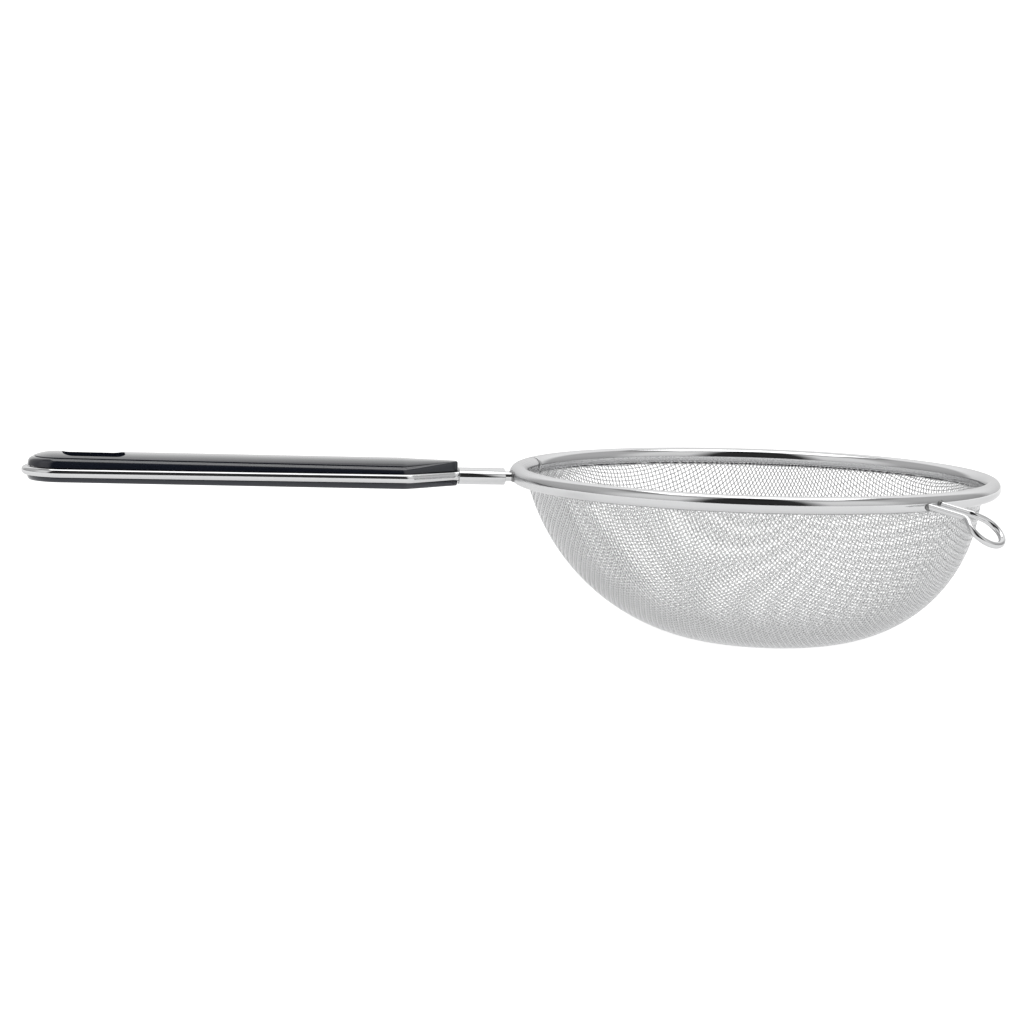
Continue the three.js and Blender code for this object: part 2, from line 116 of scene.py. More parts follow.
# Handle, with lengths from the rim's middle
FIT = 0.3 * MM
WIRE_RADIUS = 1.8 * MM
WIRE_RESOLUTION = 8
WIRE_HALF_WIDTH = 13.5 * MM
WIRE_HALF_NECK = 2.6 * MM
WIRE_TIP = 296.8 * MM
WIRE_SUNK = 0.4 * MM  # the weld takes the ends of the wires this far into the rim
NECK_LENGTH = 23 * MM
NECK_BEND = 6 * MM
BEND_STEPS = 8
TIP_STEPS = 48
SLEEVE_SPACING = 4 * MM  # of the wire's points in the sleeve, then along the grip
GRIP_SPACING = 6 * MM
GRIP_DROP = 0.45 * MM  # the grip hangs this far below the rim's plane
SLEEVE_START = 103.2 * MM
SLEEVE_LENGTH = 18.8 * MM
SLEEVE_END = SLEEVE_START + SLEEVE_LENGTH
SLEEVE_RADIUS = 3.4 * MM
SLEEVE_STEPS = 72
SLEEVE_EDGE = 0.15 * MM
SLEEVE_EDGE_STEPS = 3
SLEEVE_DROP = 0.2 * MM
GRIP_START = SLEEVE_END + NECK_LENGTH

# Scales, the two halves of the grip
SCALE_START = SLEEVE_END + FIT
SCALE_MARGIN = 0.2 * MM  # inside the wire's middle line
SCALE_HALF_WIDTH = WIRE_HALF_WIDTH - SCALE_MARGIN
SCALE_NECK_HALF_WIDTH = 3 * MM
SCALE_END_ROUND = 0.9 * MM
SCALE_END_STATIONS = 6
SCALE_TIP_MIDDLE = WIRE_TIP - WIRE_HALF_WIDTH
SCALE_BEND = 4 * MM  # radius of the outline's corner between neck and grip
SCALE_GRIP_STATIONS = 24
SCALE_NECK_SPACING = 1.6 * MM
NECK_INSET = 1.4 * MM
SHOULDER_SLOPE = math.radians(12)  # from level, where the rounded side starts below the crease
SIDE_SLOPE = math.radians(80)  # from level, where it ends and runs straight down to the joint
CROWN_POWER = 2.5  # how the face falls away from its ridge to the crease

# Heights of a scale's ridge and crease at the tip and at the grip's start, and of its neck;
# the crease's inset and step, and the drop of the rounded side below it
ScaleForm = namedtuple("ScaleForm", "tip_top tip_crease grip_top grip_crease neck inset step drop")
UPPER_SCALE = ScaleForm(
    tip_top=7.65 * MM, tip_crease=5.95 * MM, grip_top=7.15 * MM, grip_crease=4.75 * MM,
    neck=5.9 * MM, inset=3.0 * MM, step=0.35 * MM, drop=1.9 * MM,
)
LOWER_SCALE = ScaleForm(
    tip_top=4.3 * MM, tip_crease=3.8 * MM, grip_top=4.75 * MM, grip_crease=4.3 * MM,
    neck=4.0 * MM, inset=1.2 * MM, step=0.0, drop=3.0 * MM,
)
# Places across half a scale: 0-1 on its face, 1-2 on its rounded side, 3 at the joint
FACE_ROLES = (0, 0.15, 0.3, 0.42, 0.54, 0.64, 0.73, 0.81, 0.88, 0.94, 0.98, 1)
SIDE_ROLES = (1.02, 1.1, 1.2, 1.3, 1.42, 1.55, 1.7, 1.85, 2, 3)

# Hanging slot
SLOT_START = 257.3 * MM
SLOT_LENGTH = 25.1 * MM
SLOT_WIDTH = 17 * MM
SLOT_CORNER = 4 * MM
SLOT_CORNER_STEPS = 10

# Rest
REST_ANGLE = math.radians(-54.2)
REST_YAW = math.radians(16.9)
REST_TWIST = math.radians(8)
REST_RADIUS = 1.4 * MM
REST_RESOLUTION = 7
REST_DROP = 0.8 * MM
REST_SUNK = BEAD_RADIUS / 2
REST_LEGS = 6.6 * MM
REST_LEG = 13.6 * MM
REST_LEG_SPACING = 1 * MM
REST_LEG_TILT = math.radians(11.5)
REST_LOOP_TILT = math.radians(40)
REST_BEND = 9 * MM
REST_LOOP_RADIUS = 7.9 * MM
REST_LOOP_REACH = 10.5 * MM
REST_LOOP_STEPS = 72
REST_FILLET = 6 * MM
REST_FILLET_STEPS = 16

# Welds, in radii of the wire
WELD_HEIGHT = 0.4
WELD_FOOT = 1.18
WELD_LIP = 1.02
WELD_BORE = 0.9
WELD_FLARE_POINTS = 7
WELD_STEPS = 28

HANDLE_PLACE = Matrix.Translation(RIM_MIDDLE) @ Matrix.Rotation(math.pi, 4, "Z")
HANDLE_WELD = RIM_MIDDLE - Vector((RIM_RADIUS, 0, 0))
REST_OUT = BEAD_MIDDLE + math.sqrt(BEAD_RADIUS**2 - REST_DROP**2)
REST_PLACE = (
    Matrix.Translation(RIM_MIDDLE)
    @ Matrix.Rotation(REST_ANGLE, 4, "Z")
    @ Matrix.Translation((REST_OUT, 0, -REST_DROP))
    @ Matrix.Rotation(REST_YAW, 4, "Z")
    @ Matrix.Rotation(REST_TWIST, 4, "X")
)

# Finishes
BRIGHT_STEEL = (0.67, 0.672, 0.678)
WORN_SHARE = 0.95  # tone of worn steel, of the clean tone
STEEL_SMUDGES = {"Smudge Size": 55.0, "Scratch Size": 900.0}
STEEL_LINE_HEIGHT = 0.02 * MM
PLASTIC_TONES = ((0.006, 0.008, 0.014), (0.011, 0.014, 0.024))
PLASTIC_ROUGHNESS = (0.07, 0.2)
PLASTIC_SMUDGES = {"Smudge Size": 38.0, "Scratch Size": 1400.0}
RIPPLE_SCALE = 160.0
RIPPLE_STRENGTH = 0.05
RIPPLE_HEIGHT = 0.05 * MM
SCRATCH_SHARE = 0.35  # of the fine scratches in the dullness

# Light: tone of the walls by share of the half turn from the camera's side, then by height
WALL_TONES = (
    (0.0, 0.03), (0.13, 0.03), (0.2, 0.8), (0.36, 0.8), (0.46, 0.5), (0.74, 0.5), (0.8, 1.0),
)
HEIGHT_TONES = ((0.0, 0.7), (0.3, 0.9), (0.5, 1.0), (0.8, 1.0), (0.83, 0.6), (1.0, 0.6))
WALL_STRENGTH = 1.15
SOFTBOX_SIZE = (1.3, 0.85)
SOFTBOX_PLACE = (0.0, 0.22, 1.45)  # across, away from the camera, above the rim
SOFTBOX_POWER = 6.0
FLOOR_RADIUS = 40.0
FLOOR_STEPS = 64
FLOOR_TONE = 0.7
FLOOR_ROUGHNESS = 0.9
FLOOR_GLOW = ((0.0, 0.66), (0.35, 0.66), (1.0, 0.95))  # by share of its reach from the object
GLOW_REACH = 1.2
GLOW_IN_STEEL = 0.77  # share of the floor's glow that other things see

# Picture
VIEW_TURN = math.radians(10)
VIEW_RISE = math.radians(5.72)
VIEW_ROLL = math.radians(1.94)
VIEW_DISTANCE = 3.0
VIEW_END = 100.0
PICTURE = 1024
SENSOR = 36.0
PIXELS_PER_METRE = 2459.0
RIM_PIXEL = (755.3, 480.1)

chance = np.random.default_rng(11)


# Node helpers

def feed(tree, target, inputs):
    """Gives a node's inputs, by name or number, a constant or another node's output."""
    for key, value in inputs.items():
        if isinstance(value, bpy.types.NodeSocket):
            tree.links.new(value, target.inputs[key])
        else:
            target.inputs[key].default_value = value


def node(tree, kind, inputs=None, **settings):
    made = tree.nodes.new(kind)
    for name, value in settings.items():
        setattr(made, name, value)
    feed(tree, made, inputs or {})
    return made


def maths(tree, operation, *values):
    made = node(tree, "ShaderNodeMath", dict(enumerate(values)), operation=operation)
    return made.outputs[0]


def vector_maths(tree, operation, *values):
    made = node(tree, "ShaderNodeVectorMath", dict(enumerate(values)), operation=operation)
    return made.outputs["Value" if operation in ("DISTANCE", "LENGTH") else "Vector"]


def spread_values(tree, value, low, high):
    """Maps a value from 0-1 to low-high."""
    inputs = {"Value": value, "To Min": low, "To Max": high}
    return node(tree, "ShaderNodeMapRange", inputs).outputs["Result"]


def noise(tree, vector, scale, detail):
    inputs = {"Vector": vector, "Scale": scale, "Detail": detail}
    return node(tree, "ShaderNodeTexNoise", inputs).outputs["Fac"]


def two_tones(tree, share, first, second):
    """Mixes two colours by a share of the second."""
    inputs = {"Factor": share, "A": (*first, 1), "B": (*second, 1)}
    return node(tree, "ShaderNodeMix", inputs, data_type="RGBA").outputs["Result"]


def bump(tree, height, strength, distance):
    inputs = {"Height": height, "Strength": strength, "Distance": distance}
    return node(tree, "ShaderNodeBump", inputs).outputs["Normal"]


def ramp(tree, value, stops):
    """Grey tones by value, straight between the stops."""
    made = node(tree, "ShaderNodeValToRGB", {"Fac": value})
    elements = made.color_ramp.elements
    while len(elements) < len(stops):
        elements.new(0.5)
    for element, (position, tone) in zip(elements, stops):
        element.position = position
        element.color = (tone, tone, tone, 1)
    return made.outputs["Color"]


def new_group(name, inputs, outputs):
    """A node group with sockets of these names and kinds, and its two end nodes."""
    group = bpy.data.node_groups.new(name, "ShaderNodeTree")
    for way, sockets in (("INPUT", inputs), ("OUTPUT", outputs)):
        for label, kind in sockets.items():
            group.interface.new_socket(name=label, in_out=way, socket_type=kind)
    return group, group.nodes.new("NodeGroupInput"), group.nodes.new("NodeGroupOutput")


def handling_marks():
    """Soft smudges and fine scratches, as a mask of dullness and a height."""
    group, given, made = new_group(
        "handling_marks",
        {
            "Vector": "NodeSocketVector",
            "Smudge Size": "NodeSocketFloat",
            "Scratch Size": "NodeSocketFloat",
        },
        {"Dullness": "NodeSocketFloat", "Height": "NodeSocketFloat"},
    )
    smudge = noise(group, given.outputs["Vector"], given.outputs["Smudge Size"], 3.0)
    fine = noise(group, given.outputs["Vector"], given.outputs["Scratch Size"], 1.0)
    dullness = maths(group, "MULTIPLY_ADD", fine, SCRATCH_SHARE, smudge)
    feed(group, made, {"Dullness": dullness, "Height": fine})
    return group


def drawn_lines():
    """Lines left by drawing wire or rolling strip: noise stretched along one way of the vector."""
    group, given, made = new_group(
        "drawn_lines",
        {"Vector": "NodeSocketVector", "Stretch": "NodeSocketVector"},
        {"Lines": "NodeSocketFloat"},
    )
    stretched = vector_maths(group, "MULTIPLY", given.outputs["Vector"], given.outputs["Stretch"])
    feed(group, made, {"Lines": noise(group, stretched, 1.0, 3.0)})
    return group


MARKS = handling_marks()
LINES = drawn_lines()


# Materials

def new_material(name):
    """A material with its tree, its surface and the place on the object."""
    material = bpy.data.materials.new(name)
    material.use_nodes = True
    tree = material.node_tree
    surface = tree.nodes["Principled BSDF"]
    place = node(tree, "ShaderNodeTexCoord").outputs["Object"]
    return material, tree, surface, place


def use_group(tree, group, **inputs):
    """A group's node, with its inputs by name."""
    return node(tree, "ShaderNodeGroup", inputs, node_tree=group)


def ring_vector(tree, place):
    """Turns a place into (round, out, up) about the rim's axis, for lines that run round it."""
    moved = vector_maths(tree, "SUBTRACT", place, RIM_MIDDLE)
    x, y, z = node(tree, "ShaderNodeSeparateXYZ", {0: moved}).outputs
    squares = [maths(tree, "MULTIPLY", part, part) for part in (x, y)]
    out = maths(tree, "SQRT", maths(tree, "ADD", *squares))
    inputs = {0: maths(tree, "ARCTAN2", y, x), 1: out, 2: z}
    return node(tree, "ShaderNodeCombineXYZ", inputs).outputs[0]


def steel(name, color, roughness, stretch, ring=False, line_strength=0.02, edge=0.85, ground=None):
    """Polished stainless steel with drawn lines, faint smudges and a slight change of tone.
    It is duller about the place where a weld was ground."""
    material, tree, surface, place = new_material(name)
    dullness = use_group(tree, MARKS, Vector=place, **STEEL_SMUDGES).outputs["Dullness"]
    along = ring_vector(tree, place) if ring else place
    lines = use_group(tree, LINES, Vector=along, Stretch=stretch).outputs["Lines"]
    rough = spread_values(tree, maths(tree, "MULTIPLY", dullness, lines), *roughness)
    if ground is not None:
        away = vector_maths(tree, "DISTANCE", place, ground)
        share = maths(tree, "DIVIDE", away, GROUND_REACH)
        rough = maths(tree, "ADD", rough, spread_values(tree, share, GROUND_ROUGHNESS, 0.0))
    feed(tree, surface, {
        "Metallic": 1.0,
        "Specular Tint": (edge, edge, edge, 1),
        "Roughness": rough,
        "Base Color": two_tones(tree, dullness, [c * WORN_SHARE for c in color], color),
        "Normal": bump(tree, lines, line_strength, STEEL_LINE_HEIGHT),
    })
    return material


def gloss_plastic():
    """Glossy black moulding with a blue cast, a faint ripple and a few soft smudges."""
    material, tree, surface, place = new_material("gloss_black")
    dullness = use_group(tree, MARKS, Vector=place, **PLASTIC_SMUDGES).outputs["Dullness"]
    ripple = noise(tree, place, RIPPLE_SCALE, 1.0)
    feed(tree, surface, {
        "Base Color": two_tones(tree, dullness, *PLASTIC_TONES),
        "Roughness": spread_values(tree, dullness, *PLASTIC_ROUGHNESS),
        "IOR": 1.5,
        "Coat IOR": 1.9,
        "Coat Weight": node(tree, "ShaderNodeLayerWeight").outputs["Facing"],
        "Normal": bump(tree, ripple, RIPPLE_STRENGTH, RIPPLE_HEIGHT),
    })
    return material


RIM_STEEL = steel(
    "rim_steel", BRIGHT_STEEL, roughness=(0.05, 0.16), stretch=(3.0, 5200.0, 5200.0),
    ring=True, ground=HANDLE_WELD,
)
WIRE_STEEL = steel(
    "wire_steel", BRIGHT_STEEL, roughness=(0.04, 0.13), stretch=(60.0, 4200.0, 4200.0),
)
WELD_STEEL = steel(
    "weld_steel", (0.24, 0.24, 0.24), roughness=(0.2, 0.5), stretch=(900.0, 900.0, 900.0),
    line_strength=0.5,
)
WEAVE_STEEL = steel(
    "weave_steel", (0.73, 0.733, 0.737), roughness=(0.2, 0.34), stretch=(700.0, 700.0, 700.0),
    edge=1.0,
)
BLACK = gloss_plastic()


# Mesh helpers

def add_object(name, data):
    made = bpy.data.objects.new(name, data)
    bpy.context.scene.collection.objects.link(made)
    return made


def finish_piece(name, mesh, material, cad_node):
    """Makes a piece of a mesh, with its finish and its body, and hides the node it stands for."""
    mesh.materials.clear()
    mesh.materials.append(material)
    piece = add_object(name, mesh)
    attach(piece, "root")
    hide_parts(cad_node)
    return piece


def mesh_from(bm, name, sharp=SHARP):
    """Closes a bmesh into a mesh with outward faces, smooth except at sharp edges."""
    bmesh.ops.remove_doubles(bm, verts=bm.verts, dist=MERGE)
    bmesh.ops.recalc_face_normals(bm, faces=bm.faces)
    mesh = bpy.data.meshes.new(name)
    bm.to_mesh(mesh)
    bm.free()
    mesh.shade_smooth()
    mesh.set_sharp_from_angle(angle=sharp)
    return mesh


def baked_mesh(holder, name):
    """The mesh of an object with its curve bevel and modifiers applied; the object goes."""
    bpy.context.view_layer.update()
    depsgraph = bpy.context.evaluated_depsgraph_get()
    mesh = bpy.data.meshes.new_from_object(holder.evaluated_get(depsgraph))
    mesh.name = name
    bpy.data.objects.remove(holder)
    return mesh


def wire_mesh(name, runs, radius, resolution):
    """Round wires along runs of points."""
    curve = bpy.data.curves.new(name, "CURVE")
    curve.dimensions = "3D"
    curve.bevel_depth = radius
    curve.bevel_resolution = resolution
    curve.use_fill_caps = True
    for run in runs:
        spline = curve.splines.new("POLY")
        spline.points.add(len(run) - 1)
        spline.points.foreach_set("co", np.c_[run, np.ones(len(run))].ravel())
    mesh = baked_mesh(add_object(name, curve), name)
    bpy.data.curves.remove(curve)
    return mesh


def thicken(piece, thickness, edge_width, edge_steps):
    """Gives a sheet its thickness, inward, and bevels its edges."""
    wall = piece.modifiers.new("sheet_wall", "SOLIDIFY")
    wall.thickness = thickness
    wall.offset = -1
    edge = piece.modifiers.new("sheet_edges", "BEVEL")
    edge.width = edge_width
    edge.segments = edge_steps
    edge.limit_method = "ANGLE"
    edge.angle_limit = BEVEL_FROM


def placed(mesh, place):
    mesh.transform(place)
    return mesh


def only(kind, geometry):
    return [g for g in geometry if isinstance(g, kind)]


def between(first, second, share):
    return first + (second - first) * share


def arc_points(middle, radius, start, end, steps):
    """Points on an arc about a middle, by its angles in radians."""
    angles = np.linspace(start, end, steps + 1)
    return [(middle[0] + radius * math.cos(a), middle[1] + radius * math.sin(a)) for a in angles]


def without_repeats(points):
    kept = [points[0]]
    for p in points[1:]:
        if math.dist(p, kept[-1]) > REPEAT:
            kept.append(p)
    return kept


def divided(start, end, spacing):
    """Evenly spaced points on a line."""
    count = max(1, round(math.dist(start, end) / spacing))
    way = np.subtract(end, start)
    return [tuple(np.add(start, np.multiply(way, k / count))) for k in range(count + 1)]


# Bowl

WALL_TOP = Vector((BEAD_MIDDLE - WALL_INSET, RIM_MIDDLE.z - WALL_DROP))
HEM = Vector((BEAD_MIDDLE - HEM_INSET, RIM_MIDDLE.z - HEM_DROP))
BOWL_FLOOR = STRAND


def lengths_along(points):
    """Length along a run of points, at each of them."""
    steps = np.linalg.norm(np.diff(points, axis=0), axis=1)
    return np.concatenate([[0], np.cumsum(steps)])


def bowl_outline():
    """Length along half the bowl's outline, with the radius and height there, from foot to hem."""
    foot = Vector((FOOT_RADIUS, BOWL_FLOOR))
    floor_end = foot + Vector((FLOOR_REACH, 0))
    wall_end = WALL_TOP - WALL_REACH * Vector((math.sin(WALL_SLOPE), math.cos(WALL_SLOPE)))
    ends = [p.to_3d() for p in (foot, floor_end, wall_end, WALL_TOP)]
    curve = [p[:2] for p in interpolate_bezier(*ends, OUTLINE_STEPS)]
    beyond = HEM + (HEM - WALL_TOP).normalized() * BEYOND_HEM
    points = np.array([(0, BOWL_FLOOR), *curve, tuple(HEM), tuple(beyond)])
    return lengths_along(points), points[:, 0], points[:, 1]


OUTLINE_LENGTH, OUTLINE_RADIUS, OUTLINE_HEIGHT = bowl_outline()
HEM_LENGTH = OUTLINE_LENGTH[-2]
NET_LENGTH = HEM_LENGTH + NET_MARGIN


def bowl_points(flat):
    """The bowl's surface over a disc of lengths along its outline."""
    along = np.maximum(np.linalg.norm(flat, axis=-1), 1e-9)
    height = np.interp(along, OUTLINE_LENGTH, OUTLINE_HEIGHT)
    share = np.interp(along, OUTLINE_LENGTH, OUTLINE_RADIUS) / along
    lean = BOWL_LEAN * np.clip((WALL_TOP.y - height) / (WALL_TOP.y - BOWL_FLOOR), 0, 1)
    x = RIM_MIDDLE.x + lean + share * flat[..., 0]
    return np.stack([x, RIM_MIDDLE.y + share * flat[..., 1], height], -1)


def bowl_normals(flat):
    along, across = (
        bowl_points(flat + step) - bowl_points(flat - step)
        for step in (np.array((NORMAL_STEP, 0)), np.array((0, NORMAL_STEP)))
    )
    normal = np.cross(along, across)
    return normal / np.linalg.norm(normal, axis=-1, keepdims=True)


def evenly_along(turn, reach):
    """Spots a pitch apart over the bowl, on the line across it at this angle."""
    out = np.linspace(-NET_LENGTH, NET_LENGTH, LINE_STEPS + 1)
    way = (math.cos(turn), math.sin(turn))
    length = lengths_along(bowl_points(out[:, None] * way))
    length -= length[LINE_STEPS // 2]
    wanted = np.arange(-reach, reach + 1) * PITCH
    spots = np.interp(wanted, length, out, left=np.nan, right=np.nan)
    return spots[:, None] * way


def pitch_misses(spots, ends):
    """By how much spots are more than a pitch away from each of two ends."""
    here = bowl_points(spots)
    return np.stack([np.linalg.norm(here - end, axis=-1) - PITCH for end in ends], -1)


def settled(spots, ends):
    """Moves spots over the bowl until they are a pitch away from both ends."""
    for _ in range(NET_ROUNDS):
        miss = pitch_misses(spots, ends)
        nudged = [pitch_misses(spots + n, ends) for n in ((NET_NUDGE, 0), (0, NET_NUDGE))]
        slope = np.stack([there - miss for there in nudged], -1) / NET_NUDGE
        spots = spots - np.linalg.solve(slope, miss[..., None])[..., 0]
    return spots


def net_knots():
    """Where the strands cross: a net that keeps its pitch and shears over the bowl, as woven
    wire does. It grows from two lines across the bowl, a diagonal of knots at a time."""
    reach = int(NET_LENGTH / PITCH) + NET_SPARE
    knots = np.full((2 * reach + 1, 2 * reach + 1, 2), np.nan)
    knots[:, reach] = evenly_along(WEAVE_TURN, reach)
    knots[reach, :] = evenly_along(WEAVE_TURN + QUARTER, reach)
    for side_i, side_j in ((1, 1), (-1, 1), (-1, -1), (1, -1)):
        for total in range(2, 2 * reach + 1):
            i = np.arange(max(1, total - reach), min(reach, total - 1) + 1)
            row, column = reach + side_i * i, reach + side_j * (total - i)
            first, second = knots[row - side_i, column], knots[row, column - side_j]
            spots = first + second - knots[row - side_i, column - side_j]
            known = ~np.isnan(spots).any(-1)
            if not known.any():
                continue
            ends = bowl_points(first[known]), bowl_points(second[known])
            spots = settled(spots[known], ends)
            spots[np.linalg.norm(spots, axis=-1) > NET_LENGTH] = np.nan
            knots[row[known], column[known]] = spots
    return knots


def strand_runs(knots, parity):
    """The middle line of each strand that runs along the second way of the net."""
    runs = []
    count = knots.shape[0]
    stray = np.clip(chance.normal(0, WANDER, count), -WANDER_LIMIT, WANDER_LIMIT)
    for i in range(1, count - 1):
        beside = knots[i + 1] if stray[i] > 0 else knots[i - 1]
        strayed = knots[i] + (beside - knots[i]) * abs(stray[i])
        line = np.where(np.isnan(beside), knots[i], strayed)
        there = np.flatnonzero(~np.isnan(line).any(-1))
        if len(there) < FEWEST_POINTS:
            continue
        crossings = np.arange(there[0], there[-1] + 1)
        line = line[crossings]
        before = line[1:-1] + (line[:-2] - line[1:-1]) * CRIMP
        after = line[1:-1] + (line[2:] - line[1:-1]) * CRIMP
        flat = np.stack([before, after], 1).reshape(-1, 2)
        over = np.where((i + crossings[1:-1] + parity) % 2, 1, -1)
        lift = np.repeat(over, 2)[:, None] * STRAND * LIFT
        run = bowl_points(flat) + bowl_normals(flat) * lift
        run = run[np.linalg.norm(flat, axis=-1) < HEM_LENGTH]
        if len(run) > FEWEST_POINTS:
            runs.append(run)
    return runs


def woven_bowl():
    """The bowl's strands, both ways, in bands that keep each piece light."""
    knots = net_knots()
    ways = (("warp", knots, 0), ("weft", knots.transpose(1, 0, 2), 1))
    for way, net, parity in ways:
        runs = strand_runs(net, parity)
        ends = [round(len(runs) * k / STRAND_BANDS) for k in range(STRAND_BANDS + 1)]
        for band in range(STRAND_BANDS):
            name = f"bowl_{way}_{band + 1}"
            strands = runs[ends[band] : ends[band + 1]]
            mesh = wire_mesh(name, strands, STRAND / 2, STRAND_RESOLUTION)
            finish_piece(name, mesh, WEAVE_STEEL, "mesh_bowl")


# Rim

def rim_bead():
    """A strip rolled into a round bead: its section spun from one side of the seam to the other."""
    slit = (HEM + WALL_TOP) / 2 - Vector((BEAD_MIDDLE, RIM_MIDDLE.z))
    slit_angle = math.atan2(slit.y, slit.x)
    half = SLIT_HALF / BEAD_RADIUS
    start, end = slit_angle + half, slit_angle - half + 2 * math.pi
    outline = arc_points((BEAD_MIDDLE, 0), BEAD_RADIUS, start, end, BEAD_STEPS)
    bm = bmesh.new()
    section = [bm.verts.new((out, 0, up)) for out, up in outline]
    for pair in zip(section, section[1:]):
        bm.edges.new(pair)
    gap = SEAM_GAP / RIM_RADIUS
    turn = Matrix.Rotation(SEAM_ANGLE + gap / 2, 3, "Z")
    bmesh.ops.rotate(bm, verts=bm.verts, cent=(0, 0, 0), matrix=turn)
    bmesh.ops.spin(bm, geom=bm.verts[:] + bm.edges[:], cent=(0, 0, 0), axis=(0, 0, 1),
                   angle=2 * math.pi - gap, steps=RIM_STEPS)
    bmesh.ops.translate(bm, verts=bm.verts, vec=RIM_MIDDLE)
    mesh = mesh_from(bm, "rim_bead")
    piece = finish_piece("rim_bead", mesh, RIM_STEEL, "rim")
    thicken(piece, BEAD_SHEET, BEAD_EDGE, BEAD_EDGE_STEPS)


# Handle

def hairpin_path(start):
    """The handle wire's middle line, in the rim's plane: straight between its bends."""
    rise = WIRE_HALF_WIDTH - WIRE_HALF_NECK - 2 * NECK_BEND
    turn = math.atan2(rise, NECK_LENGTH)
    turn += math.asin(2 * NECK_BEND / math.hypot(NECK_LENGTH, rise))
    inner = (SLEEVE_END, WIRE_HALF_NECK + NECK_BEND)
    outer = (GRIP_START, WIRE_HALF_WIDTH - NECK_BEND)
    side = divided((start, WIRE_HALF_NECK), (SLEEVE_END, WIRE_HALF_NECK), SLEEVE_SPACING)
    side += arc_points(inner, NECK_BEND, -QUARTER, turn - QUARTER, BEND_STEPS)
    side += arc_points(outer, NECK_BEND, QUARTER + turn, QUARTER, BEND_STEPS)
    side += divided(side[-1], (SCALE_TIP_MIDDLE, WIRE_HALF_WIDTH), GRIP_SPACING)
    tip = arc_points((SCALE_TIP_MIDDLE, 0), WIRE_HALF_WIDTH, QUARTER, -QUARTER, TIP_STEPS)
    path = side + tip + [(x, -y) for x, y in reversed(side)]
    return np.array([(x, y, 0) for x, y in without_repeats(path)])


def dropped(mesh):
    """Lets a handle mesh down along the neck, by the grip's drop at its end."""
    for v in mesh.vertices:
        share = min(max((v.co.x - SLEEVE_END) / NECK_LENGTH, 0), 1)
        v.co.z -= GRIP_DROP * share * share * (3 - 2 * share)
    return mesh


def handle_wire():
    path = hairpin_path(RIM_RADIUS - WIRE_SUNK)
    mesh = wire_mesh("handle_hairpin", [path], WIRE_RADIUS, WIRE_RESOLUTION)
    mesh = placed(dropped(mesh), HANDLE_PLACE)
    finish_piece("handle_hairpin", mesh, WIRE_STEEL, "handle_wire")


def sleeve():
    """An oval tube round the two runs of the wire."""
    bm = bmesh.new()
    loop = bmesh.ops.create_circle(bm, segments=SLEEVE_STEPS, radius=1)["verts"]
    oval = Matrix.Diagonal((WIRE_HALF_NECK + SLEEVE_RADIUS, SLEEVE_RADIUS, 1, 1))
    stand = Matrix((
        (0, 0, 1, SLEEVE_START),
        (1, 0, 0, 0),
        (0, 1, 0, -SLEEVE_DROP),
        (0, 0, 0, 1),
    ))
    bmesh.ops.transform(bm, matrix=stand @ oval, verts=loop)
    made = bmesh.ops.extrude_edge_only(bm, edges=bm.edges[:])["geom"]
    bmesh.ops.translate(bm, verts=only(BMVert, made), vec=(SLEEVE_LENGTH, 0, 0))
    mesh = placed(mesh_from(bm, "handle_sleeve"), HANDLE_PLACE)
    piece = finish_piece("handle_sleeve", mesh, WIRE_STEEL, "sleeve")
    thicken(piece, SLEEVE_RADIUS - WIRE_RADIUS - FIT, SLEEVE_EDGE, SLEEVE_EDGE_STEPS)


# Scales

def scale_spot(role, x, width, form):
    """A point of a scale's section at x: role 0-1 crosses the face to the crease, 1-2 steps down
    and goes over the rounded side, 3 is at the joint."""
    grip = min(1, (SCALE_TIP_MIDDLE - x) / (SCALE_TIP_MIDDLE - GRIP_START))
    neck = max(0, GRIP_START - x) / (GRIP_START - SCALE_START)
    ridge = between(between(form.tip_top, form.grip_top, grip), form.neck, neck)
    crease = between(between(form.tip_crease, form.grip_crease, grip), form.neck, neck)
    inset = between(form.inset, min(form.inset, NECK_INSET), neck)
    side = abs(role)
    if side > 2:
        return math.copysign(width, role), FIT / 2
    if side > 1:
        start = crease - form.step * (1 - neck)
        drop = min(form.drop, start - WIRE_RADIUS)
        foot = (start - drop - FIT / 2) / math.tan(SIDE_SLOPE)
        slope = between(SHOULDER_SLOPE, SIDE_SLOPE, side - 1)
        out = math.sin(SIDE_SLOPE) - math.sin(SHOULDER_SLOPE)
        down = math.cos(SHOULDER_SLOPE) - math.cos(SIDE_SLOPE)
        across = width - foot - (inset - foot) * (math.sin(SIDE_SLOPE) - math.sin(slope)) / out
        height = start - drop * (math.cos(SHOULDER_SLOPE) - math.cos(slope)) / down
        return math.copysign(across, role), height
    return role * (width - inset), between(ridge, crease, side**CROWN_POWER)


